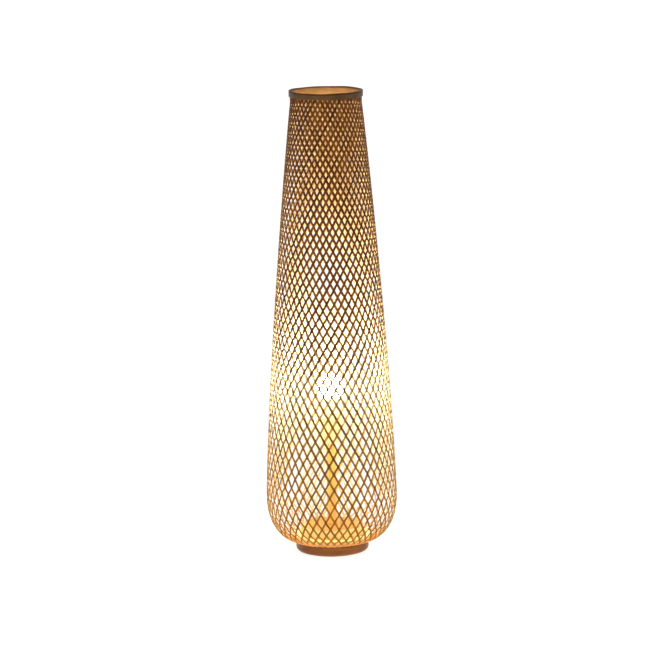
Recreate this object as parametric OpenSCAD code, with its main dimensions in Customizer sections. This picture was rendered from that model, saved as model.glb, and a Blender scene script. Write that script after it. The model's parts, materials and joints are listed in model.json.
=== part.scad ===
// Floor lamp with a tall open-weave bamboo shade that lifts off a round wooden foot.
// Origin: centre of the underside. +Z up, +Y towards the cord inlet at the rear. Millimetres.

/* [Overall] */
// Height from the floor to the top of the rim hoops
total_h = 930; // [860:5:960]

/* [Shade] */
// Largest outside radius of the weave
belly_r = 131; // [115:1:145]
// Height of the widest place above the floor
belly_z = 116; // [105:1:140]
// Outside radius of the weave at the neck, inside the rim hoop
neck_r = 71.2; // [70:0.2:78]
// Radius of the hole that the weave leaves at the bottom
lip_r = 70; // [68:0.5:73]
// Thickness of the weave, two bamboo splints crossing
weave_t = 2.4; // [2:0.1:3]

/* [Foot] */
// Radius of the wooden foot
foot_r = 73; // [71:0.5:80]
// Height of the foot's top face above the floor
foot_top = 21.5; // [17:0.5:23]
// Radius of the plinth that the shade slips over
plinth_r = 63; // [60:0.5:64]
// Height of the plinth's top face above the floor
plinth_top = 53; // [44:1:60]
// Thickness of the felt ring under the foot
felt_t = 2; // [1.5:0.5:3]

/* [Stem and lampholder] */
// Radius of the wooden stem sleeve
stem_r = 10; // [9:0.5:12]
// Height of the lampholder's lower end above the floor
holder_z = 215; // [160:5:260]
// Outside radius of the lampholder
holder_r = 20; // [19:0.5:22]

/* [Bulb] */
// Radius of the bulb's globe
globe_r = 27.5; // [26:0.5:32]
// Length of the bulb from its contact to the top of its globe
bulb_len = 105; // [103:1:115]

/* [Hidden] */
$fn = 96;

wood_orange = [0.80, 0.52, 0.25];
wood_brown = [0.42, 0.22, 0.12];
stain_brown = [0.26, 0.19, 0.11];
brass_colour = [0.80, 0.66, 0.36];
steel_colour = [0.72, 0.72, 0.74];

gap = 0.3;                      // free space between two bodies that move apart
seat_z = foot_top + gap;        // underside of the shade, just clear of the foot

// Foot: the inner sizes of its recess, cover step and cord hole
recess_r = 32;
recess_top = foot_top - 4;
cover_r = 44;
cover_top = felt_t + 2;
cover_screw_ring = 38;
cord_z = cover_top + 5;
cord_hole_r = 4.6;
cord_r = 3.3;                   // bore of the grommet, for a 6 mm round cord
spot_y = foot_r - 3;            // flat on the back of the foot behind the grommet's flange
tube_hole_r = 5.2;

// Screws that hold the foot and the plinth together
plinth_screw_ring = 24;
plinth_screw_angles = [60, 180, 300];
plinth_screw_top = foot_top + 19;

// Iron ballast in the plinth's underside
ballast_r = 50;
ballast_h = 12;

// M10 tube that clamps foot, plinth, stem and lampholder together
tube_r = 5;
tube_bore_r = 3.8;
washer_r = 12;
washer_t = 1.2;
nut_t = 3;
tube_bottom = recess_top - washer_t - nut_t - 0.8;
tube_top = holder_z + 15;

// Inner leads: each runs in from the terminal block, bends up and rises inside the tube
lead_r = 1.1;
lead_y = 1.5;
lead_z = cover_top + 2.6;
lead_bend = 3;                  // radius of the bend, on the middle of the lead
lead_fan = 5;                   // angle by which each lead spreads towards the block

// Terminal block beside the tube
block_x = 13;
block_size = [14, 13, 8];
block_screw_x = [block_x + 4, block_x + 10];
block_screw_r = 1.4;

// Lampholder
holder_wall = 1.8;
cap_top = holder_z + 20;
insert_floor = cap_top + 3;
insert_floor_t = 12;
shell_bottom = insert_floor + insert_floor_t;
lead_top = shell_bottom - 4;
holder_top = holder_z + 58;
thread_r = 13.4;                // bore of the screw shell, E27
shell_wall = 0.5;
insert_r = holder_r - holder_wall;

// Bulb, from its contact up
bulb_z = shell_bottom + 5;
contact_h = 1.2;
insulator_h = 4;
thread_pitch = 3.629;
cap_crest_r = 13.1;
cap_thread_h = 21;
globe_z = bulb_z + bulb_len - globe_r;
housing_top = globe_z - 14;
housing_top_r = sqrt(pow(globe_r, 2) - pow(globe_z - housing_top, 2));
housing_wall = 1.4;

// Rim hoops
hoop_t = 2.4;
outer_hoop_r = neck_r + 2.2;
outer_hoop_h = 12.5;
inner_hoop_h = 18;
taper_top = total_h - 25;       // the neck is straight from here up
weave_top = total_h - 2;

// Bottom hoop, inside the weave, on top of the splints' ends
bottom_hoop_z = seat_z + weave_t;
bottom_hoop_h = 10;
bottom_hoop_in = plinth_r + 0.6;
bottom_hoop_out = lip_r + 7.5;
peg_ring = (bottom_hoop_in + lip_r) / 2 + 4;
peg_r = 1.2;
brad_r = 0.6;
brad_z = total_h - 6;

// ---------- shared shapes ----------

// Ring of rectangular section
module ring(r_in, r_out, z0, h) {
    translate([0, 0, z0]) difference() {
        cylinder(r = r_out, h = h);
        translate([0, 0, -1]) cylinder(r = r_in, h = h + 2);
    }
}

// Places its children at each of the given angles, on a circle of radius r
module on_ring(angles, r) {
    for (a = angles) rotate([0, 0, a]) translate([r, 0, 0]) children();
}

// Plain shank with a cone head at its lower end, for countersunk screws driven upwards
module screw_up(z_head, z_end, shank_r, head_r, head_h) {
    translate([0, 0, z_head]) cylinder(r1 = head_r, r2 = shank_r, h = head_h);
    translate([0, 0, z_head + head_h]) cylinder(r = shank_r, h = z_end - z_head - head_h);
}

// Places its children at the corner of one lead, with +X along its run to the terminal block
module on_lead(side) {
    translate([0, side * lead_y, lead_z]) rotate([0, 0, side * lead_fan]) children();
}

// ---------- foot ----------

module base_felt() color([0.20, 0.20, 0.20])
    ring(cover_r + 2, foot_r - 11, 0, felt_t);

module cover_screw() {
    screw_up(felt_t, cover_top + 8, 1.5, 3, 2);
}

module base_cover() color([0.35, 0.26, 0.18]) difference() {
    translate([0, 0, felt_t]) cylinder(r = cover_r - gap, h = cover_top - felt_t);
    on_ring([0, 120, 240], cover_screw_ring) cover_screw();
}

module cover_screws() color(steel_colour)
    on_ring([0, 120, 240], cover_screw_ring) cover_screw();

// Lower edge of the foot: an elliptical round from the felt up to the straight side
round_h = 10;
round_in = 11;
function foot_side(z) = foot_r - round_in + round_in * sqrt(1 - pow(1 - min(z / round_h, 1), 2));

module base_foot() color(wood_brown) difference() {
    rotate_extrude() polygon(concat(
        [[tube_hole_r, foot_top], [tube_hole_r, recess_top], [recess_r, recess_top],
         [recess_r, cover_top], [cover_r, cover_top], [cover_r, felt_t]],
        [for (z = [felt_t : 2 : round_h]) [foot_side(z), z]],
        [[foot_r, foot_top - 0.8], [foot_r - 0.8, foot_top]]));
    on_ring([0, 120, 240], cover_screw_ring)
        translate([0, 0, cover_top - 1]) cylinder(r = 1.5, h = 9);
    on_ring(plinth_screw_angles, plinth_screw_ring)
        translate([0, 0, recess_top - 1]) cylinder(r = 2, h = foot_top - recess_top + 2);
    translate([0, recess_r - 2, cord_z]) rotate([-90, 0, 0])
        cylinder(r = cord_hole_r, h = foot_r - recess_r + 4);
    translate([0, spot_y, cord_z]) rotate([-90, 0, 0]) cylinder(r = 6.6, h = 10);
}

module cord_grommet() color([0.12, 0.12, 0.12])
    translate([0, 0, cord_z]) rotate([-90, 0, 0]) difference() {
        union() {
            translate([0, 0, spot_y - 14]) cylinder(r = cord_hole_r, h = 14);
            translate([0, 0, spot_y]) cylinder(r = 6.4, h = 2.2);
        }
        cylinder(r = cord_r, h = foot_r + 1);
    }

module terminal_block() color([0.90, 0.88, 0.82]) difference() {
    translate([block_x, -block_size[1] / 2, cover_top + 1]) cube(block_size);
    for (side = [-1, 1]) on_lead(side) {
        translate([block_x - 2, 0, 0]) rotate([0, 90, 0])
            cylinder(r = lead_r + 0.1, h = block_size[0] + 4, $fn = 24);
        for (x = block_screw_x) translate([x, 0, 0])
            cylinder(r = block_screw_r, h = block_size[2] + 1, $fn = 24);
    }
}

module block_screws() color(steel_colour)
    for (side = [-1, 1], x = block_screw_x) on_lead(side)
        translate([x, 0, lead_r + 0.1]) cylinder(r = block_screw_r, h = 4, $fn = 24);

module plinth_screw() {
    translate([0, 0, recess_top - 2.4]) cylinder(r = 4, h = 2.4);
    translate([0, 0, recess_top]) cylinder(r = 2, h = plinth_screw_top - recess_top);
}

module plinth_screws() color(steel_colour)
    on_ring(plinth_screw_angles, plinth_screw_ring) plinth_screw();

module ballast_plate() color([0.25, 0.25, 0.27]) difference() {
    ring(tube_hole_r + 0.5, ballast_r - gap, foot_top, ballast_h - gap);
    on_ring(plinth_screw_angles, plinth_screw_ring)
        translate([0, 0, foot_top - 1]) cylinder(r = 2.5, h = ballast_h + 2);
}

module plinth() color(wood_orange) difference() {
    rotate_extrude() polygon([
        [tube_hole_r, foot_top + ballast_h], [ballast_r, foot_top + ballast_h],
        [ballast_r, foot_top], [plinth_r, foot_top],
        [plinth_r, plinth_top - 2], [plinth_r - 0.6, plinth_top - 0.6], [plinth_r - 2, plinth_top],
        [stem_r + 0.1, plinth_top], [stem_r + 0.1, plinth_top - 4], [tube_hole_r, plinth_top - 4]]);
    on_ring(plinth_screw_angles, plinth_screw_ring) plinth_screw();
}

// ---------- tube, stem and inner leads ----------

module threaded_tube() color(steel_colour)
    ring(tube_bore_r, tube_r, tube_bottom, tube_top - tube_bottom);

module tube_washer() color(steel_colour)
    ring(tube_r + 0.2, washer_r, recess_top - washer_t, washer_t);

module tube_nut() color(steel_colour)
    translate([0, 0, recess_top - washer_t - nut_t]) difference() {
        cylinder(r = 8.1, h = nut_t, $fn = 6);
        translate([0, 0, -1]) cylinder(r = tube_r, h = nut_t + 2);
    }

module stem_sleeve() color(wood_orange)
    ring(tube_hole_r + 0.2, stem_r, plinth_top - 4, holder_z - plinth_top + 4);

// side is 1 or -1
module lead(side) on_lead(side) {
    translate([0, 0, lead_bend]) cylinder(r = lead_r, h = lead_top - lead_z - lead_bend, $fn = 24);
    translate([lead_bend, 0, lead_bend]) rotate([-90, 0, 180]) rotate_extrude(angle = 90)
        translate([lead_bend, 0]) circle(r = lead_r, $fn = 24);
    translate([lead_bend, 0, 0]) rotate([0, 90, 0])
        cylinder(r = lead_r, h = block_x + 7 - lead_bend, $fn = 24);
}

module lead_live() color([0.45, 0.25, 0.12]) lead(1);

module lead_neutral() color([0.25, 0.45, 0.75]) lead(-1);

// ---------- lampholder ----------

module holder_cap() color([0.93, 0.92, 0.88])
    rotate_extrude() polygon([
        [tube_r, holder_z], [7.5, holder_z], [8.5, holder_z + 1], [9, holder_z + 5],
        [13.5, holder_z + 8], [17.5, holder_z + 12], [19.4, holder_z + 16], [holder_r, cap_top],
        [insert_r, cap_top], [insert_r - 0.6, holder_z + 16.5], [16, holder_z + 13],
        [12.5, holder_z + 10], [tube_r, holder_z + 8]]);

module holder_shell() color([0.93, 0.92, 0.88])
    rotate_extrude() polygon([
        [insert_r, cap_top], [holder_r, cap_top], [holder_r, holder_top - 3],
        [holder_r + 0.8, holder_top - 2.4], [holder_r + 0.8, holder_top], [insert_r, holder_top]]);

module holder_insert() color([0.97, 0.96, 0.93]) difference() {
    translate([0, 0, insert_floor]) cylinder(r = insert_r, h = holder_top - insert_floor - 1);
    translate([0, 0, shell_bottom]) cylinder(r = thread_r + shell_wall, h = 40);
    for (side = [-1, 1]) {
        translate([0, side * lead_y, insert_floor - 1]) cylinder(r = lead_r, h = 10, $fn = 24);
        translate([side * 12, 0, insert_floor - 1]) cylinder(r = 1.7, h = 6, $fn = 24);
    }
}

module holder_terminals() color(brass_colour)
    for (side = [-1, 1]) translate([side * 12, 0, insert_floor - 1.6]) {
        cylinder(r = 2.8, h = 1.6, $fn = 24);
        cylinder(r = 1.7, h = 6, $fn = 24);
    }

module screw_shell() color(brass_colour)
    ring(thread_r, thread_r + shell_wall, shell_bottom, holder_top - 3 - shell_bottom);

module centre_contact() color(brass_colour)
    translate([0, 2.5, shell_bottom]) rotate([90, 0, 0]) linear_extrude(5) polygon([
        [-10, 0], [-4, 0], [3, 4.1], [6, 3.4], [6, 4], [3, 4.7], [-4.2, 0.7], [-10, 0.7]]);

// ---------- shade ----------

// Powers of the bowl and of the taper
bowl_power_z = 2.3;
bowl_power_r = 1.95;
taper_power = 1.28;
taper_blend = 0.95;

// Outside radius of the weave in the taper above the widest place, s from 0 to 1
function taper_r(s) = neck_r + (belly_r - neck_r) * pow(1 - pow(s, taper_power), taper_blend);

// Outline of the weave, from the lip up: a superellipse bowl, then the taper, then the neck
bowl_points = [for (a = [0 : 6 : 90]) [
    lip_r + (belly_r - lip_r) * pow(sin(a), 2 / bowl_power_r),
    belly_z - (belly_z - seat_z) * pow(cos(a), 2 / bowl_power_z)]];
taper_points = [for (s = [0.05 : 0.05 : 1]) [taper_r(s), belly_z + (taper_top - belly_z) * s]];
shade_outline = concat(bowl_points, taper_points, [[neck_r, weave_top]]);

// The same outline moved inwards by the thickness of the weave
function unit(v) = v / norm(v);
function inward(points, i, t) =
    let (a = points[max(i - 1, 0)], b = points[min(i + 1, len(points) - 1)], d = unit(b - a))
    points[i] + t * [-d[1], d[0]];
inner_outline = concat(
    [shade_outline[0] + [0, weave_t]],
    [for (i = [1 : len(shade_outline) - 2]) inward(shade_outline, i, weave_t)],
    [[neck_r - weave_t, weave_top]]);

module rim_brad_holes() {
    for (a = [22.5 : 45 : 360]) rotate([0, 0, a])
        translate([neck_r - weave_t - 2, 0, brad_z]) rotate([0, 90, 0])
            cylinder(r = brad_r, h = weave_t + 4.4, $fn = 24);
}

module peg_shapes() {
    on_ring([15 : 30 : 360], peg_ring)
        translate([0, 0, seat_z]) cylinder(r = peg_r, h = weave_t + 6, $fn = 24);
}

module woven_shade() color([0.55, 0.36, 0.18]) difference() {
    rotate_extrude() polygon(concat(shade_outline,
        [for (i = [len(inner_outline) - 1 : -1 : 0]) inner_outline[i]]));
    rim_brad_holes();
    peg_shapes();
}

// Its underside lies on the first stretch of the weave's inner face
module bottom_hoop() color(wood_orange) difference() {
    rotate_extrude() polygon([
        [bottom_hoop_in, bottom_hoop_z], inner_outline[0], inner_outline[1],
        [bottom_hoop_out, bottom_hoop_z + 3.2],
        [bottom_hoop_out, bottom_hoop_z + bottom_hoop_h - 1],
        [bottom_hoop_out - 1, bottom_hoop_z + bottom_hoop_h],
        [bottom_hoop_in, bottom_hoop_z + bottom_hoop_h]]);
    peg_shapes();
}

module hoop_pegs() color(wood_brown) peg_shapes();

module top_outer_hoop() color(stain_brown) difference() {
    ring(neck_r, outer_hoop_r, total_h - outer_hoop_h, outer_hoop_h);
    rim_brad_holes();
}

module top_inner_hoop() color(wood_orange) difference() {
    ring(neck_r - weave_t - hoop_t, neck_r - weave_t, total_h - inner_hoop_h, inner_hoop_h);
    rim_brad_holes();
}

module rim_brads() color(steel_colour) rim_brad_holes();

// ---------- bulb ----------

module bulb_contact() color(steel_colour)
    rotate_extrude() polygon([
        [0, bulb_z], [3, bulb_z], [4.2, bulb_z + 0.4], [4.6, bulb_z + contact_h],
        [0, bulb_z + contact_h]]);

module bulb_insulator() color([0.10, 0.10, 0.12])
    rotate_extrude() polygon([
        [0, bulb_z + contact_h], [5.4, bulb_z + contact_h], [11, bulb_z + contact_h + insulator_h],
        [0, bulb_z + contact_h + insulator_h]]);

cap_z = bulb_z + contact_h + insulator_h;

// Thin threaded shell, its thread as rings of the same pitch and crest
module bulb_screw_cap() color(steel_colour)
    rotate_extrude() polygon(concat(
        [[11.4, cap_z], [12.2, cap_z]],
        [for (z = [0.5 : 0.5 : cap_thread_h])
            [cap_crest_r - 0.45 + 0.45 * cos(360 * z / thread_pitch), cap_z + z]],
        [[11.9, cap_z + cap_thread_h], [11.9, cap_z + 1]]));

module bulb_housing() color([0.95, 0.95, 0.93])
    rotate_extrude() polygon(concat(
        [[12.2, cap_z + cap_thread_h], [14, cap_z + cap_thread_h], [14.4, cap_z + cap_thread_h + 3]],
        [for (s = [0.25 : 0.25 : 1])
            [14.4 + (housing_top_r - 14.4) * sin(90 * s),
             cap_z + cap_thread_h + 3 + (housing_top - cap_z - cap_thread_h - 3) * s]],
        [[housing_top_r - housing_wall, housing_top], [12.2, cap_z + cap_thread_h + 4]]));

module bulb_led_board() color([0.85, 0.86, 0.88])
    translate([0, 0, housing_top - 2.6]) cylinder(r = housing_top_r - 2.4, h = 1.6);

module bulb_globe() color([1.0, 0.97, 0.85]) rotate_extrude() difference() {
    translate([0, globe_z]) circle(r = globe_r);
    translate([0, globe_z]) circle(r = globe_r - 1.2);
    translate([-2 * globe_r, globe_z - 2 * globe_r]) square([2 * globe_r, 4 * globe_r]);
    translate([-1, globe_z - 2 * globe_r])
        square([globe_r + 2, 2 * globe_r - (globe_z - housing_top)]);
}

base_felt();
base_cover();
cover_screws();
base_foot();
cord_grommet();
terminal_block();
block_screws();
ballast_plate();
plinth_screws();
plinth();
tube_nut();
tube_washer();
threaded_tube();
stem_sleeve();
lead_live();
lead_neutral();
holder_cap();
holder_shell();
holder_insert();
holder_terminals();
screw_shell();
centre_contact();
woven_shade();
bottom_hoop();
hoop_pegs();
top_outer_hoop();
top_inner_hoop();
rim_brads();
bulb_contact();
bulb_insulator();
bulb_screw_cap();
bulb_housing();
bulb_led_board();
bulb_globe();
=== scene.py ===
import bpy
import json
import math
import random

import numpy as np
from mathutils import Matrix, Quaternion, Vector

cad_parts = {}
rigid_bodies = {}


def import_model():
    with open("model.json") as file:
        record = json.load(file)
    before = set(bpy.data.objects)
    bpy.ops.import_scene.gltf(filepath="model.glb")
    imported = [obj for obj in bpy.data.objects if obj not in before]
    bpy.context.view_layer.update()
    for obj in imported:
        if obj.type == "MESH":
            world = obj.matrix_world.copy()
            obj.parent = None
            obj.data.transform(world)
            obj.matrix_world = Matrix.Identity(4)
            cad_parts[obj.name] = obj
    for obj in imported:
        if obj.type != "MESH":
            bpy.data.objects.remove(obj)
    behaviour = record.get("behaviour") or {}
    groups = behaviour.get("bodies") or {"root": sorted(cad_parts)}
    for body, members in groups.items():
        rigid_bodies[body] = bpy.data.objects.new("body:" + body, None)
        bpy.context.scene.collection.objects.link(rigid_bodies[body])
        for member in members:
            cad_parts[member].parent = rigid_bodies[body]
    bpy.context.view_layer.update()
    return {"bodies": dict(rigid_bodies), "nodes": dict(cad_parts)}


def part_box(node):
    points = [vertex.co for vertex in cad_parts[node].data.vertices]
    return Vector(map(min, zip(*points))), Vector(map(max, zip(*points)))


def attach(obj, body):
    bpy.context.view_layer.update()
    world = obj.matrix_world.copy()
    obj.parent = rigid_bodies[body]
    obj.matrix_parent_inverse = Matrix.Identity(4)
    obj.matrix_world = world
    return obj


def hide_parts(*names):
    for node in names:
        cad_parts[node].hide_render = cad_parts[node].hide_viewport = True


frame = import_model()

nodes = frame["nodes"]


# ---------- sizes taken from the frame ----------

def rings_of(node):
    """Distance from the lamp's axis, and height, of each vertex of a CAD node."""
    points = np.array([v.co for v in nodes[node].data.vertices])
    return np.hypot(points[:, 0], points[:, 1]), points[:, 2]


HAIR = 1e-5                     # heights closer than this count as one
shade_r, shade_z = rings_of("woven_shade")
BELLY_R = shade_r.max()
BELLY_Z = shade_z[shade_r.argmax()]
LIP_Z = shade_z.min()
LIP_R = shade_r[shade_z < LIP_Z + HAIR].min()
WEAVE_TOP = shade_z.max()
NECK_R = shade_r[shade_z > WEAVE_TOP - HAIR].max()
WEAVE_T = NECK_R - shade_r[shade_z > WEAVE_TOP - HAIR].min()
RIM_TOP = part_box("top_outer_hoop")[1].z
NECK_H = 0.025                  # the straight part at the top of the shade
TAPER_TOP = RIM_TOP - NECK_H
PLINTH_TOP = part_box("plinth")[1].z
GLOBE_LOW, GLOBE_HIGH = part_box("bulb_globe")
GLOBE_R = GLOBE_HIGH.x
GLOBE_Z = GLOBE_HIGH.z - GLOBE_R


# ---------- mesh helpers ----------

def new_object(name, vertices, faces, smooth_under=35.0):
    """Mesh object from vertices and faces, smooth but for edges sharper than the given angle."""
    mesh = bpy.data.meshes.new(name)
    mesh.from_pydata([tuple(v) for v in vertices], [], faces)
    mesh.validate()
    mesh.shade_smooth()
    mesh.set_sharp_from_angle(angle=math.radians(smooth_under))
    thing = bpy.data.objects.new(name, mesh)
    bpy.context.scene.collection.objects.link(thing)
    return thing


def float_attribute(thing, name, values):
    """Stores one number for each vertex, for the material to read."""
    layer = thing.data.attributes.new(name, "FLOAT", "POINT")
    layer.data.foreach_set("value", np.asarray(values, np.float32))


def vector_attribute(thing, name, values):
    """Stores one vector for each vertex, for the material to read."""
    layer = thing.data.attributes.new(name, "FLOAT_VECTOR", "POINT")
    layer.data.foreach_set("vector", np.asarray(values, np.float32).ravel())


def sweep_faces(rings, around, first=0):
    """Quads over rings of points, each with the same count around."""
    faces = []
    for i in range(rings - 1):
        low = first + i * around
        high = low + around
        for j in range(around):
            k = (j + 1) % around
            faces.append((low + j, low + k, high + k, high + j))
    return faces


# ---------- material helpers ----------

class Nodes:
    """Short hand for building a material's node tree."""

    def __init__(self, name):
        self.material = bpy.data.materials.new(name)
        self.material.use_nodes = True
        self.tree = self.material.node_tree
        self.tree.nodes.clear()
        self.output = self.add("ShaderNodeOutputMaterial")
        self.shader = self.add("ShaderNodeBsdfPrincipled")
        self.link(self.shader.outputs[0], self.output.inputs["Surface"])

    def add(self, kind, **settings):
        node = self.tree.nodes.new(kind)
        for key, value in settings.items():
            setattr(node, key, value)
        return node

    def link(self, source, target):
        self.tree.links.new(source, target)

    def place(self, scale=(1, 1, 1)):
        """Object coordinates, stretched."""
        where = self.add("ShaderNodeTexCoord")
        mapping = self.add("ShaderNodeMapping")
        mapping.inputs["Scale"].default_value = scale
        self.link(where.outputs["Object"], mapping.inputs["Vector"])
        return mapping.outputs[0]

    def noise(self, vector, scale, detail, roughness=0.55, distortion=0.0):
        node = self.add("ShaderNodeTexNoise")
        node.inputs["Scale"].default_value = scale
        node.inputs["Detail"].default_value = detail
        node.inputs["Roughness"].default_value = roughness
        node.inputs["Distortion"].default_value = distortion
        self.link(vector, node.inputs["Vector"])
        return node.outputs["Fac"]

    def height(self, low, high, strength=1.0):
        """Rises from nothing to the given strength between two heights."""
        where = self.add("ShaderNodeTexCoord")
        parts = self.add("ShaderNodeSeparateXYZ")
        self.link(where.outputs["Object"], parts.inputs[0])
        return self.span(parts.outputs["Z"], 0.0, strength, low, high)

    def attribute(self, name, output="Fac"):
        return self.add("ShaderNodeAttribute", attribute_name=name).outputs[output]

    def ramp(self, factor, stops):
        """Colour ramp from (place, colour) stops."""
        node = self.add("ShaderNodeValToRGB")
        elements = node.color_ramp.elements
        while len(elements) < len(stops):
            elements.new(0.5)
        for element, (place, colour) in zip(elements, stops):
            element.position = place
            element.color = (*colour, 1.0)
        self.link(factor, node.inputs["Fac"])
        return node.outputs["Color"]

    def span(self, factor, low, high, from_low=0.0, from_high=1.0):
        """Maps one range of a factor to another."""
        node = self.add("ShaderNodeMapRange")
        node.inputs["From Min"].default_value = from_low
        node.inputs["From Max"].default_value = from_high
        node.inputs["To Min"].default_value = low
        node.inputs["To Max"].default_value = high
        self.link(factor, node.inputs["Value"])
        return node.outputs["Result"]

    def math(self, operation, a, b):
        node = self.add("ShaderNodeMath", operation=operation)
        for socket, value in zip(node.inputs, (a, b)):
            if isinstance(value, (int, float)):
                socket.default_value = value
            else:
                self.link(value, socket)
        return node.outputs[0]

    def mix(self, factor, a, b):
        """Mixes two colours, each a constant or a socket."""
        node = self.add("ShaderNodeMix", data_type="RGBA")
        colours = [s for s in node.inputs if s.type == "RGBA"]
        for socket, value in zip([node.inputs["Factor"], *colours], (factor, a, b)):
            if isinstance(value, (int, float)):
                socket.default_value = value
            elif isinstance(value, tuple):
                socket.default_value = (*value, 1.0)
            else:
                self.link(value, socket)
        return [s for s in node.outputs if s.type == "RGBA"][0]

    def bump(self, height, strength, distance):
        node = self.add("ShaderNodeBump")
        node.inputs["Strength"].default_value = strength
        node.inputs["Distance"].default_value = distance
        self.link(height, node.inputs["Height"])
        self.link(node.outputs[0], self.shader.inputs["Normal"])

    def set(self, **values):
        """Constants on the shader's own sockets, their names with spaces for underscores."""
        for key, value in values.items():
            self.shader.inputs[key.replace("_", " ")].default_value = value


# ---------- materials ----------

PAINTED_END_LIGHT = (0.84, 0.52, 0.24)    # painted light: the splints' lower ends painted lighter, standing in for light on them
AMBER_LIGHT = (0.98, 0.66, 0.21)    # painted light: the colour of what comes through a splint far from the bulb
CREAM_LIGHT = (0.93, 0.96, 0.74)    # and near it, also painted light
LIGHT_THROUGH = 0.9                 # share of light let through where the painted glow is full
WOOD_SHINE = 0.2
SPLINT_SHINE = 0.12


def between(first, second):
    """The colour half way between two."""
    return tuple((a + b) / 2 for a, b in zip(first, second))


def darker(colour, share):
    return tuple(channel * share for channel in colour)


def splint_material(name, dark, middle, light):
    """Bamboo splint: fibres along it, a tone of its own, darker culm rings, lower ends painted lighter as
    painted light, and light through it in shares and colours that a painted glow sets by height and lean.
    """
    m = Nodes(name)
    fibre = m.noise(m.attribute("along_splint", "Vector"), 1.0, detail=5.0, roughness=0.6)
    tone = m.attribute("tone")
    shade = m.math("ADD", m.math("MULTIPLY", fibre, 0.35), m.math("MULTIPLY", tone, 0.65))
    colour = m.ramp(shade, [(0.2, dark), (0.5, middle), (0.8, light)])
    ring = m.attribute("ring")
    colour = m.mix(m.math("MULTIPLY", ring, 0.6), colour, darker(dark, 0.45))
    # painted light: the splints' lower ends lighter
    colour = m.mix(m.attribute("painted_end_light"), colour, PAINTED_END_LIGHT)
    m.link(colour, m.shader.inputs["Base Color"])
    m.link(m.span(fibre, 0.38, 0.62), m.shader.inputs["Roughness"])
    m.bump(fibre, 0.25, 0.0002)
    m.set(Specular_IOR_Level=SPLINT_SHINE)
    through = m.add("ShaderNodeBsdfTranslucent")
    # painted light: the colour of the light through a splint, amber far from the bulb and cream near it
    painted_light_tint = m.mix(m.attribute("painted_cream"), AMBER_LIGHT, CREAM_LIGHT)
    m.link(m.mix(0.8, colour, painted_light_tint), through.inputs["Color"])
    blend = m.add("ShaderNodeMixShader")
    # painted light: the share let through follows the painted glow, set by height and lean
    m.link(m.math("MULTIPLY", m.attribute("painted_glow"), LIGHT_THROUGH), blend.inputs["Fac"])
    m.link(m.shader.outputs[0], blend.inputs[1])
    m.link(through.outputs[0], blend.inputs[2])
    m.link(blend.outputs[0], m.output.inputs["Surface"])
    return m.material


def wood_material(name, dark, light, grain_scale, along, gloss=0.42, top=None):
    """Wood with long grain, fine pores and slow changes of colour. The grain runs along the axis with the
    smallest scale. Where the top is given, as (height, colour), the face at that height takes that
    colour, as painted shade: a top face darker than the sides, standing in for less light on that face."""
    m = Nodes(name)
    where = m.place(along)
    slow = m.noise(where, grain_scale * 0.25, detail=2.0, distortion=0.6)
    grain = m.noise(where, grain_scale, detail=8.0, roughness=0.65, distortion=0.3)
    pores = m.noise(m.place(along), grain_scale * 6.0, detail=3.0)
    both = m.math("ADD", m.math("MULTIPLY", grain, 0.6), m.math("MULTIPLY", slow, 0.4))
    colour = m.ramp(both, [(0.32, dark), (0.52, between(dark, light)), (0.70, light)])
    colour = m.mix(m.span(pores, 0.0, 0.35, 0.55, 0.75), colour, darker(dark, 0.5))
    if top:
        top_z, painted_shade_top_colour = top
        # painted shade: the top face darker than the sides
        colour = m.mix(m.height(top_z - 0.0012, top_z - 0.0002, 0.85), colour, painted_shade_top_colour)
    m.link(colour, m.shader.inputs["Base Color"])
    m.link(m.span(grain, gloss - 0.1, gloss + 0.12), m.shader.inputs["Roughness"])
    m.set(Specular_IOR_Level=WOOD_SHINE)
    m.bump(m.math("ADD", grain, m.math("MULTIPLY", pores, 0.5)), 0.3, 0.0005)
    return m.material


def hoop_material(name, dark, light, node_name, painted_shade_edge):
    """Bent bamboo strip: streaks along it, and a darker band along its upper edge, painted shade."""
    m = Nodes(name)
    streaks = m.noise(m.place((0.25, 0.25, 3.0)), 170.0, detail=8.0, roughness=0.65, distortion=0.2)
    patches = m.noise(m.place((1, 1, 0.6)), 28.0, detail=3.0)
    both = m.math("ADD", m.math("MULTIPLY", streaks, 0.6), m.math("MULTIPLY", patches, 0.4))
    colour = m.ramp(both, [(0.34, dark), (0.50, between(dark, light)), (0.66, light)])
    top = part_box(node_name)[1].z
    # painted shade: a darker band along the upper edge, where the groove between the hoops lies in shadow
    colour = m.mix(m.height(top - 0.0042, top - 0.0020, 0.9), colour, painted_shade_edge)
    m.link(colour, m.shader.inputs["Base Color"])
    m.link(m.span(streaks, 0.36, 0.58), m.shader.inputs["Roughness"])
    m.set(Specular_IOR_Level=WOOD_SHINE)
    m.bump(streaks, 0.3, 0.0004)
    return m.material


def metal_material(name, colour, roughness, scale=400.0):
    m = Nodes(name)
    m.set(Metallic=1.0)
    wear = m.noise(m.place(), scale, detail=5.0)
    blotch = m.noise(m.place(), scale * 0.08, detail=2.0)
    m.link(m.mix(m.span(blotch, 0.0, 0.5), colour, darker(colour, 0.72)),
           m.shader.inputs["Base Color"])
    m.link(m.span(wear, roughness - 0.08, roughness + 0.12), m.shader.inputs["Roughness"])
    m.bump(wear, 0.08, 0.0002)
    return m.material


def moulded_material(name, colour, roughness, scale=700.0, bump=0.1):
    """Plastic, rubber, felt or ceramic with a fine surface and faint mottling."""
    m = Nodes(name)
    fine = m.noise(m.place(), scale, detail=4.0)
    slow = m.noise(m.place(), scale * 0.03, detail=2.0)
    m.link(m.mix(m.span(slow, 0.0, 0.6), colour, darker(colour, 0.86)),
           m.shader.inputs["Base Color"])
    m.link(m.span(fine, roughness - 0.08, roughness + 0.1), m.shader.inputs["Roughness"])
    m.bump(fine, bump, 0.0002)
    return m.material


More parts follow.
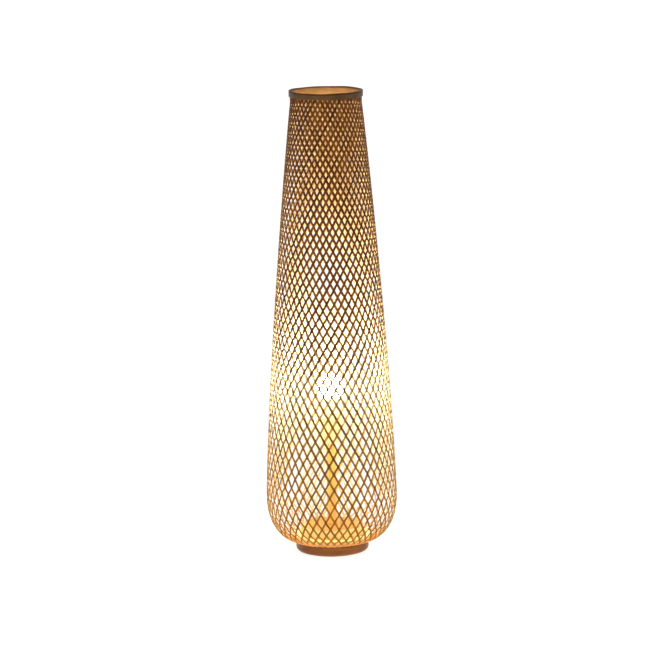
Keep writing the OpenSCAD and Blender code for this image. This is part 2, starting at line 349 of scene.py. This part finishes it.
def glowing_material(name, colour, strength):
    """Opal diffuser, lit from inside, a little dimmer towards its lower edge."""
    m = Nodes(name)
    m.set(Base_Color=(0.95, 0.93, 0.88, 1.0), Roughness=0.35)
    cloud = m.noise(m.place(), 60.0, detail=2.0)
    level = m.span(m.height(GLOBE_LOW.z, GLOBE_Z), 0.75, 1.0)
    level = m.math("MULTIPLY", level, m.span(cloud, 0.95, 1.05))
    m.link(m.mix(level, darker(colour, 0.8), colour), m.shader.inputs["Emission Color"])
    m.set(Emission_Strength=strength)
    return m.material


STAIN_DARK = (0.060, 0.014, 0.001)
STAIN_MIDDLE = (0.142, 0.036, 0.003)
STAIN_LIGHT = (0.240, 0.075, 0.008)
PALE_DARK = (0.54, 0.39, 0.21)
PALE_MIDDLE = (0.70, 0.54, 0.33)
PALE_LIGHT = (0.80, 0.66, 0.44)

splint_outside = splint_material("splint_outside", STAIN_DARK, STAIN_MIDDLE, STAIN_LIGHT)
splint_inside = splint_material("splint_inside", PALE_DARK, PALE_MIDDLE, PALE_LIGHT)
# each hoop's last colour is painted shade along its upper edge
hoop_dark = hoop_material("hoop_dark", (0.045, 0.020, 0.003), (0.170, 0.086, 0.022),
                          "top_outer_hoop", (0.060, 0.012, 0.004))
hoop_pale = hoop_material("hoop_pale", (0.40, 0.17, 0.045), (0.78, 0.47, 0.20),
                          "top_inner_hoop", (0.16, 0.05, 0.012))
foot_wood = wood_material("foot_wood", (0.130, 0.036, 0.006), (0.400, 0.150, 0.030), 90.0,
                          (0.10, 0.6, 2.2), gloss=0.38)
# the plinth's pale, bright sides are painted light and its darker tan top face is painted shade
plinth_wood = wood_material("plinth_wood", (0.84, 0.68, 0.32), (0.97, 0.88, 0.50), 90.0,
                            (0.12, 1.0, 1.5), top=(PLINTH_TOP, (0.44, 0.24, 0.07)))
stem_wood = wood_material("stem_wood", (0.62, 0.38, 0.11), (0.84, 0.60, 0.25), 120.0,
                          (2.0, 2.0, 0.10))
steel = metal_material("steel", (0.62, 0.62, 0.64), 0.32)
bronzed_steel = metal_material("bronzed_steel", (0.045, 0.026, 0.014), 0.55)
iron = metal_material("iron", (0.09, 0.09, 0.10), 0.6, scale=250.0)
brass = metal_material("brass", (0.78, 0.56, 0.24), 0.28)
cap_metal = metal_material("cap_metal", (0.80, 0.78, 0.74), 0.24)
rubber = moulded_material("rubber", (0.025, 0.025, 0.027), 0.65)
felt = moulded_material("felt", (0.030, 0.030, 0.032), 0.92, scale=1400.0, bump=0.8)
board = moulded_material("board", (0.25, 0.16, 0.09), 0.8, scale=900.0, bump=0.5)
holder_plastic = moulded_material("holder_plastic", (0.66, 0.64, 0.42), 0.42)
ceramic = moulded_material("ceramic", (0.88, 0.86, 0.80), 0.55)
brown_insulation = moulded_material("brown_insulation", (0.16, 0.06, 0.02), 0.4)
blue_insulation = moulded_material("blue_insulation", (0.02, 0.09, 0.32), 0.4)
black_glass = moulded_material("black_glass", (0.015, 0.015, 0.018), 0.18)
housing_white = moulded_material("housing_white", (0.88, 0.87, 0.83), 0.30)
circuit_white = moulded_material("circuit_white", (0.85, 0.86, 0.87), 0.45)
globe_light = glowing_material("globe_light", (1.0, 0.90, 0.68), 26.0)

CAD_MATERIALS = {
    "base_felt": felt, "base_cover": board, "cover_screws": steel, "base_foot": foot_wood,
    "cord_grommet": rubber, "terminal_block": holder_plastic, "block_screws": steel,
    "ballast_plate": iron, "plinth_screws": steel, "plinth": plinth_wood, "tube_nut": steel,
    "tube_washer": steel, "threaded_tube": steel, "stem_sleeve": stem_wood,
    "lead_live": brown_insulation, "lead_neutral": blue_insulation,
    "holder_cap": holder_plastic, "holder_shell": holder_plastic, "holder_insert": ceramic,
    "holder_terminals": brass, "screw_shell": brass, "centre_contact": brass,
    "bottom_hoop": plinth_wood, "hoop_pegs": foot_wood,
    "top_outer_hoop": hoop_dark, "top_inner_hoop": hoop_pale, "rim_brads": steel,
    "bulb_contact": steel, "bulb_insulator": black_glass, "bulb_screw_cap": cap_metal,
    "bulb_housing": housing_white, "bulb_led_board": circuit_white, "bulb_globe": globe_light,
}
for node_name, material in CAD_MATERIALS.items():
    mesh = nodes[node_name].data
    mesh.materials.clear()
    mesh.materials.append(material)


# ---------- outline of the weave, a bowl and a taper of the same shape as the CAD shade ----------

BOWL_POWER_Z = 2.3
BOWL_POWER_R = 1.95
TAPER_POWER = 1.28
TAPER_BLEND = 0.95


def shade_outline():
    """Radius and height along the outside of the weave, from the lip up, in small steps."""
    points = []
    for a in np.linspace(0, math.pi / 2, 160):
        r = LIP_R + (BELLY_R - LIP_R) * math.sin(a) ** (2 / BOWL_POWER_R)
        z = BELLY_Z - (BELLY_Z - LIP_Z) * max(math.cos(a), 0.0) ** (2 / BOWL_POWER_Z)
        points.append((r, z))
    for s in np.linspace(0, 1, 300)[1:]:
        r = NECK_R + (BELLY_R - NECK_R) * (1 - s ** TAPER_POWER) ** TAPER_BLEND
        points.append((r, BELLY_Z + (TAPER_TOP - BELLY_Z) * s))
    points.append((NECK_R, WEAVE_TOP))
    return np.array(points)


# ---------- woven splints ----------

SPLINTS = 47                    # in each direction
LEVELS = 74                     # crossings along one splint
STEPS = 5                       # points between two crossings
SPLINT_W_LOW = 0.0038           # width in the bowl, up to SLIM_TO
SPLINT_W_HIGH = 0.0046          # width from WIDE_FROM up
SPLINT_T = 0.0010
SPLINT_BEVEL = 0.0004
SLIM_TO = 0.08                  # heights between which the width grows
WIDE_FROM = 0.35
WAVE = 0.00055                  # how far a splint swings in and out of the middle of the weave
WAVE_SOFTNESS = 0.15            # smaller bends it more sharply between crossings
WANDER = 0.0003                 # slow drift of each splint to either side
RIDE_TILT = 0.0245              # angles by which a weave laid by hand rides up and shifts round
RIDE_TWIST = 0.036
TWIST_FROM = 0.12               # heights between which the twist sets in
TWIST_TO = 0.85
RIDE_RIPPLE = 0.010
SHIFT_TILT = 0.030
SHIFT_RIPPLE = 0.008
FIBRE_W = 0.0009
FIBRE_LENGTH = 0.030
FIBRE_APART = 7.3               # keeps one splint's fibres unlike the next one's
CULM_RING_HALF = 0.004          # half the length of a splint's darker, thicker ring
CULM_RING_SWELL = 0.25          # how much thicker it is there
TONE_MIDDLE = 0.56
TONE_SPREAD = 0.22              # how unlike each other the splints are
TONE_DRIFT = 0.1                # how much a splint's tone changes along it
END_LIGHT_SHARE = 0.85                     # how far the splints' lower ends are painted lighter, as painted light
END_LIGHT_LOW = LIP_Z + 0.006        # up to here
END_LIGHT_HIGH = LIP_Z + 0.014       # and not painted lighter from here up

# painted light: how much light the splints let through, set by height and by which way a splint leans, as
# shares of LIGHT_THROUGH
GLOW_LEAST = 0.012              # everywhere
GLOW_Z = GLOBE_Z + 0.012        # height at which the lit way of the weave changes
GLOW_REACH = 0.12               # how far above and below that height one way of the weave is lit
GLOW_NEAR = 0.27                # share in the lit way
GLOW_LEVEL = 0.6                # part of that which both ways have at GLOW_Z
GLOW_LEVEL_REACH = 0.28         # how far from GLOW_Z they both have it, as a part of GLOW_REACH
GLOW_TURN = 14                  # how sharply the lit way changes
CREAM_REACH = 1.3               # how far from GLOW_Z the light is cream, as a part of GLOW_REACH
GLOW_WIDE = 0.03                # share in a wide band above the bulb
GLOW_WIDE_Z = 0.48
GLOW_WIDE_REACH = 0.12
GLOW_LOW = 0.38                 # share in the bowl
GLOW_LOW_Z = 0.225
GLOW_LOW_FADE = 0.045
GLOW_ENDS = 0.2                 # share at the splints' lower ends, fading between two heights
GLOW_ENDS_LOW = 0.03
GLOW_ENDS_HIGH = 0.07


def weave_path():
    """Radius, height, outward normal and turn at even steps of turn, along the middle of the weave."""
    outline = shade_outline()
    along = np.gradient(outline, axis=0)
    along /= np.linalg.norm(along, axis=1)[:, None]
    normal = np.stack([along[:, 1], -along[:, 0]], axis=1)
    middle = outline - normal * WEAVE_T / 2
    step = np.linalg.norm(np.diff(middle, axis=0), axis=1)
    turn = np.concatenate([[0], np.cumsum(step * 2 / (middle[1:, 0] + middle[:-1, 0]))])
    even = np.linspace(0, turn[-1], LEVELS * STEPS + 1)
    at = [np.interp(even, turn, column) for column in (*middle.T, *normal.T)]
    total = LEVELS * math.pi / SPLINTS
    return at, even / turn[-1] * total


def smooth_step(low, high, value):
    t = np.clip((value - low) / (high - low), 0, 1)
    return t * t * (3 - 2 * t)


def hand_lay(phi, z):
    """Slow drifts of a weave laid by hand: how far the crossings ride up, and how far both ways of
    the weave shift round together, as angles."""
    twist = RIDE_TWIST * smooth_step(TWIST_FROM, TWIST_TO, z)
    ride = RIDE_TILT * np.cos(phi) + twist * np.sin(phi) + RIDE_RIPPLE * np.sin(2 * phi + 9 * z)
    shift = SHIFT_TILT * np.cos(phi) + SHIFT_RIPPLE * np.sin(3 * phi - 7 * z)
    return ride, shift


def splint_points(path, family, index, rng):
    """Centre line and outward direction of one splint."""
    (r, z, nr, nz), turn = path
    first = 2 * math.pi * index / SPLINTS
    ride, shift = hand_lay(first + family * turn, z)
    wave = np.cos(SPLINTS * (turn + ride))
    wave = WAVE * family * wave * np.sqrt((1 + WAVE_SOFTNESS) / (wave ** 2 + WAVE_SOFTNESS))
    wander = WANDER * np.sin(turn * rng.uniform(2, 5) + rng.uniform(0, 6))
    phi = first + family * (turn + ride) + shift + wander / r
    flat = r + nr * wave
    centre = np.stack([flat * np.cos(phi), flat * np.sin(phi), z + nz * wave], axis=1)
    outward = np.stack([nr * np.cos(phi), nr * np.sin(phi), nz], axis=1)
    return centre, outward


def splint_section(z, rng):
    """Six points of a splint's section at each height: how far across, and how far out."""
    wider = (SPLINT_W_HIGH - SPLINT_W_LOW) * smooth_step(SLIM_TO, WIDE_FROM, z)
    half_w = (SPLINT_W_LOW + wider) / 2 * rng.uniform(0.92, 1.08)
    half_t = SPLINT_T / 2
    flat = half_w - SPLINT_BEVEL
    return [(-half_w, 0), (-flat, half_t), (flat, half_t), (half_w, 0), (flat, -half_t), (-flat, -half_t)]


def hill(value):
    """1 in the middle, falling away to nothing on both sides."""
    return np.exp(-value ** 2)


def painted_glow_of(family, z):
    """Painted light: how much of the bulb's light a splint lets through, and how cream that light is, set
    by height and lean. Near the bulb one way of the weave is painted lit above it and the other below.
    The bowl and the splints' ends are painted to glow."""
    height = (z - GLOW_Z) / GLOW_REACH
    lit_side = 1 / (1 + np.exp(family * height * GLOW_TURN))
    level_with_bulb = GLOW_LEVEL * hill(height / GLOW_LEVEL_REACH)
    near = GLOW_NEAR * np.maximum(lit_side, level_with_bulb) * hill(height)
    wide = GLOW_WIDE * hill((z - GLOW_WIDE_Z) / GLOW_WIDE_REACH)
    low = GLOW_LOW / (1 + np.exp((z - GLOW_LOW_Z) / GLOW_LOW_FADE))
    ends = GLOW_ENDS * (1 - smooth_step(GLOW_ENDS_LOW, GLOW_ENDS_HIGH, z))
    return np.clip(GLOW_LEAST + wide + low + near + ends, 0, 1), hill(height / CREAM_REACH)


def culm_rings(length, rng):
    """Rises to 1 at each ring of the bamboo, at a spacing of the splint's own."""
    first = rng.uniform(0.0, 0.30)
    spacing = rng.uniform(0.27, 0.34)
    away = np.abs((length - first + spacing / 2) % spacing - spacing / 2)
    return np.clip(1 - away / CULM_RING_HALF, 0, 1)


def unit(vectors):
    return vectors / np.linalg.norm(vectors, axis=1)[:, None]


def build_splints(name, path, family, indices, rng):
    """One piece of splints that all lean the same way, with what their material reads."""
    vertices, faces, sides, fibres = [], [], [], []
    levels = {"tone": [], "ring": [], "painted_glow": [], "painted_cream": [], "painted_end_light": []}
    for index in indices:
        centre, outward = splint_points(path, family, index, rng)
        z = centre[:, 2]
        along = unit(np.gradient(centre, axis=0))
        outward = unit(outward - along * np.sum(outward * along, axis=1)[:, None])
        across = np.cross(along, outward)
        section = splint_section(z, rng)
        around = len(section)
        count = len(centre)
        first = len(vertices)
        steps = np.linalg.norm(np.diff(centre, axis=0), axis=1)
        length = np.concatenate([[0], np.cumsum(steps)])
        ring = culm_rings(length, rng)
        own_tone = rng.gauss(TONE_MIDDLE, TONE_SPREAD)
        tone = np.clip(own_tone + TONE_DRIFT * np.sin(length * rng.uniform(8, 20)), 0, 1)
        # painted light: the splint's glow and its colour, by height and lean
        painted_glow, painted_cream = painted_glow_of(family, z)
        # painted light: lower ends lighter
        painted_end_light = END_LIGHT_SHARE * (1 - smooth_step(END_LIGHT_LOW, END_LIGHT_HIGH, z))
        for level, values in zip(levels.values(), (tone, ring, painted_glow, painted_cream, painted_end_light)):
            level.extend(np.repeat(values, around))
        thicker = 1 + CULM_RING_SWELL * ring
        points = [centre + across * a[:, None] + outward * (b * thicker)[:, None] for a, b in section]
        vertices.extend(np.stack(points, axis=1).reshape(-1, 3))
        own = np.full(count, FIBRE_APART * index)
        places = [np.stack([(a + b) / FIBRE_W, own, length / FIBRE_LENGTH], axis=1) for a, b in section]
        fibres.extend(np.stack(places, axis=1).reshape(-1, 3))
        faces.extend(sweep_faces(count, around, first))
        sides.extend([0, 0, 0, 1, 1, 1] * (count - 1))      # three outer faces, then three inner
        last = first + (count - 1) * around
        faces.append(tuple(first + j for j in reversed(range(around))))
        faces.append(tuple(last + j for j in range(around)))
        sides.extend([1, 1])
    thing = new_object(name, vertices, faces, smooth_under=28.0)
    thing.data.materials.append(splint_outside)
    thing.data.materials.append(splint_inside)
    thing.data.polygons.foreach_set("material_index", sides)
    for level_name, values in levels.items():
        float_attribute(thing, level_name, values)
    vector_attribute(thing, "along_splint", fibres)
    return thing


path = weave_path()
splint_rng = random.Random(7)
# a family is all the splints that lean one way: seen from outside, 1 rises to the right
for family, family_name in ((1, "rising_right"), (-1, "rising_left")):
    for half in (0, 1):
        indices = range(half * SPLINTS // 2, (half + 1) * SPLINTS // 2)
        piece = build_splints(f"splints_{family_name}_{half + 1}", path, family, indices, splint_rng)
        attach(piece, "shade")
        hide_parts("woven_shade")


# ---------- rim hoops ----------

HOOP_STEPS = 200
HOOP_LAP = math.radians(38)     # how far a hoop's two ends lie over each other
HOOP_EDGE = 0.0006              # rounding of its edges
HOOP_THIN = 0.0001              # how thin its ends are cut
HOOP_SLOW_WAVE = 0.0003         # how far its edges wave up and down
HOOP_FAST_WAVE = 0.0002
HOOP_ROOM_BELOW = 0.0003        # room for that inside the CAD hoop
HOOP_ROOM_ABOVE = 0.0005


def hoop_section(inner, outer, low, high):
    """A rectangle with rounded corners, as (radius, height) points."""
    edge = min(HOOP_EDGE, (outer - inner) * 0.45)
    near = edge * 0.3
    return [(inner, low + edge), (inner + near, low + near), (inner + edge, low),
            (outer - edge, low), (outer - near, low + near), (outer, low + edge),
            (outer, high - edge), (outer - near, high - near), (outer - edge, high),
            (inner + edge, high), (inner + near, high - near), (inner, high - edge)]


def bent_hoop(name, r_in, r_out, low, high, lap_at, rng):
    """A bamboo strip bent into a ring, its two ends thinned and lapped over each other."""
    # the third draw only keeps the next hoop's waves as they are
    slow, fast, _ = [rng.uniform(0, 6) for _ in range(3)]
    whole = 2 * math.pi + HOOP_LAP
    sections = []
    for i in range(HOOP_STEPS + 1):
        angle = whole * i / HOOP_STEPS
        inner = r_in + (r_out - r_in) * (1 - min((whole - angle) / HOOP_LAP, 1.0))
        outer = r_in + (r_out - r_in) * min(angle / HOOP_LAP, 1.0)
        outer = max(outer, inner + HOOP_THIN)
        lift = HOOP_SLOW_WAVE * math.sin(angle * 3 + slow)
        lift += HOOP_FAST_WAVE * math.sin(angle * 7 + fast)
        bottom = low + HOOP_ROOM_BELOW + lift / 2
        top = high - HOOP_ROOM_ABOVE + lift
        turn = angle + lap_at
        sections.append([(r * math.cos(turn), r * math.sin(turn), z)
                         for r, z in hoop_section(inner, outer, bottom, top)])
    around = len(sections[0])
    faces = sweep_faces(HOOP_STEPS + 1, around)
    faces.append(tuple(reversed(range(around))))
    faces.append(tuple(HOOP_STEPS * around + j for j in range(around)))
    points = [point for section in sections for point in section]
    return new_object(name, points, faces, smooth_under=40.0)


def hoop_pieces():
    rng = random.Random(11)
    for node, material, slot_name, lap_at in (
            ("top_outer_hoop", hoop_dark, "hoop_dark", math.radians(70)),
            ("top_inner_hoop", hoop_pale, "hoop_pale", math.radians(200))):
        radius, height = rings_of(node)
        flat = radius[np.abs(height - height.max()) < HAIR]
        piece = bent_hoop(node + "_bent", flat.min(), flat.max(), height.min(), height.max(),
                          lap_at, rng)
        piece.data.materials.append(material)
        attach(piece, "shade")
        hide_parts(node)


BRADS = 8
BRAD_SIDES = 12


def rim_brad_pieces():
    """Brads through both hoops, each with a small domed head."""
    low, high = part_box("rim_brads")
    radius, _ = rings_of("rim_brads")
    shank_r = (high.z - low.z) / 2
    centre_z = (high.z + low.z) / 2
    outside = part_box("top_outer_hoop")[1].x
    # from the point outwards, as (distance from the lamp's axis, radius)
    profile = [(radius.min(), 0.0), (radius.min(), shank_r), (outside - 0.0001, shank_r),
               (outside - 0.0001, shank_r * 1.7), (outside + 0.0001, shank_r * 1.5),
               (outside + 0.00025, shank_r * 0.9), (outside + 0.0003, 0.0)]
    vertices, faces = [], []
    for n in range(BRADS):
        turn = 2 * math.pi * (n + 0.5) / BRADS
        first = len(vertices)
        for reach, r in profile:
            for j in range(BRAD_SIDES):
                a = 2 * math.pi * j / BRAD_SIDES
                side, up = r * math.cos(a), r * math.sin(a)
                vertices.append((reach * math.cos(turn) - side * math.sin(turn),
                                 reach * math.sin(turn) + side * math.cos(turn), centre_z + up))
        faces.extend(sweep_faces(len(profile), BRAD_SIDES, first))
    piece = new_object("rim_brads_headed", vertices, faces)
    piece.data.materials.append(bronzed_steel)
    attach(piece, "shade")
    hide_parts("rim_brads")


hoop_pieces()
rim_brad_pieces()


# ---------- the E27 thread on the bulb's cap and in the screw shell ----------

THREAD_PITCH = 0.003629
THREAD_DEPTH = 0.0009
THREAD_FADE = 0.0012            # length over which the thread dies out at each end
CREST = 1
ROOT = -1
CAP_WALL = 0.0004


def threaded_shell(name, crest_r, low, high, wall, low_end, high_end):
    """Thin sheet-metal sleeve rolled into a right-hand thread. At each end the thread dies out at
    its crest or its root, so that the bulb's thread stays clear of its holder's."""
    around = 72
    rows = 90
    vertices = []
    for thickness in (0.0, wall):
        for i in range(rows + 1):
            z = low + (high - low) * i / rows
            fade = max(0.0, min(1.0, (z - low) / THREAD_FADE, (high - z) / THREAD_FADE))
            end = low_end if z < (low + high) / 2 else high_end
            for j in range(around):
                a = 2 * math.pi * j / around
                form = math.cos(2 * math.pi * z / THREAD_PITCH - a)
                form = end + (form - end) * fade
                r = crest_r - THREAD_DEPTH / 2 * (1 - form) - thickness
                vertices.append((r * math.cos(a), r * math.sin(a), z))
    ring = (rows + 1) * around
    faces = sweep_faces(rows + 1, around)
    faces += [tuple(reversed(f)) for f in sweep_faces(rows + 1, around, ring)]
    for j in range(around):
        k = (j + 1) % around
        faces.append((k, j, ring + j, ring + k))
        faces.append((rows * around + j, rows * around + k,
                      ring + rows * around + k, ring + rows * around + j))
    return new_object(name, vertices, faces, smooth_under=50.0)


def thread_pieces():
    cap_r, cap_z = rings_of("bulb_screw_cap")
    cap = threaded_shell("bulb_cap_threaded", cap_r.max(), cap_z.min(), cap_z.max(), CAP_WALL,
                         ROOT, CREST)
    cap.data.materials.append(cap_metal)
    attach(cap, "bulb")
    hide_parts("bulb_screw_cap")
    shell_r, shell_z = rings_of("screw_shell")
    shell = threaded_shell("screw_shell_threaded", shell_r.max(), shell_z.min(), shell_z.max(),
                           shell_r.max() - shell_r.min(), CREST, CREST)
    shell.data.materials.append(brass)
    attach(shell, "base")
    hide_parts("screw_shell")


thread_pieces()


# ---------- floor, light and camera ----------

FLOOR_HALF = 60.0
FLOOR_GREY = 0.3
FLOOR_LIGHT = 0.85
WORLD_LIGHT = 0.6
BULB_COLOUR = (1.0, 0.89, 0.64)
BULB_POWER = 5.0
BULB_LIGHT_R = GLOBE_R + 0.003  # just outside the diffuser, which would block a smaller light
BOUNCE_COLOUR = (1.0, 0.93, 0.44)
BOUNCE_POWER = 13.0
BOUNCE_LIGHTS = 4               # in a ring inside the bowl
BOUNCE_LIGHT_R = 0.015
BOUNCE_R = 0.092
BOUNCE_Z = 0.065
CAMERA_AT = (0.0112, -6.87, 1.71)
CAMERA_LOOKS_AT = (0.0112, 0, 0.439)
CAMERA_LENS = 188.3
CAMERA_ROLL = math.radians(-0.85)


def stage_floor():
    """White floor, mostly lit by itself, so that it fades into the white around it."""
    corners = [(x * FLOOR_HALF, y * FLOOR_HALF, 0) for x, y in ((-1, -1), (1, -1), (1, 1), (-1, 1))]
    floor = new_object("floor", corners, [(0, 1, 2, 3)])
    m = Nodes("floor_white")
    m.set(Base_Color=(FLOOR_GREY, FLOOR_GREY, FLOOR_GREY, 1.0), Roughness=0.9)
    m.set(Emission_Color=(1.0, 1.0, 1.0, 1.0), Emission_Strength=FLOOR_LIGHT)
    floor.data.materials.append(m.material)


def studio_light():
    world = bpy.data.worlds.new("studio")
    world.use_nodes = True
    background = world.node_tree.nodes["Background"]
    background.inputs["Color"].default_value = (1.0, 1.0, 1.0, 1.0)
    background.inputs["Strength"].default_value = WORLD_LIGHT
    bpy.context.scene.world = world


def warm_light(name, body, location, radius, colour, energy, fading):
    """Point light that no camera sees, fading with distance as the named falloff says."""
    data = bpy.data.lights.new(name, "POINT")
    data.energy = energy
    data.color = colour
    data.shadow_soft_size = radius
    data.use_soft_falloff = False
    data.use_nodes = True
    tree = data.node_tree
    falloff = tree.nodes.new("ShaderNodeLightFalloff")
    falloff.inputs["Strength"].default_value = 1.0
    tree.links.new(falloff.outputs[fading], tree.nodes["Emission"].inputs["Strength"])
    light = bpy.data.objects.new(name, data)
    light.location = location
    bpy.context.scene.collection.objects.link(light)
    light.parent = frame["bodies"][body]
    light.visible_camera = False


def lamp_lights():
    """The bulb's own light, and the glow that fills the lower shade."""
    warm_light("bulb_light", "bulb", (0, 0, GLOBE_Z), BULB_LIGHT_R, BULB_COLOUR, BULB_POWER,
               "Quadratic")
    for n in range(BOUNCE_LIGHTS):
        turn = 2 * math.pi * (n + 0.5) / BOUNCE_LIGHTS
        place = (BOUNCE_R * math.cos(turn), BOUNCE_R * math.sin(turn), BOUNCE_Z)
        warm_light(f"bounce_light_{n + 1}", "base", place, BOUNCE_LIGHT_R, BOUNCE_COLOUR,
                   BOUNCE_POWER, "Constant")


def photo_camera():
    data = bpy.data.cameras.new("camera")
    data.sensor_width = 36.0
    data.lens = CAMERA_LENS
    camera = bpy.data.objects.new("camera", data)
    camera.location = CAMERA_AT
    camera.rotation_mode = "QUATERNION"
    look = (Vector(CAMERA_LOOKS_AT) - camera.location).to_track_quat("-Z", "Y")
    camera.rotation_quaternion = look @ Quaternion((0, 0, 1), CAMERA_ROLL)
    bpy.context.scene.collection.objects.link(camera)
    bpy.context.scene.camera = camera


stage_floor()
studio_light()
lamp_lights()
photo_camera()
bpy.context.scene.view_settings.view_transform = "Standard"
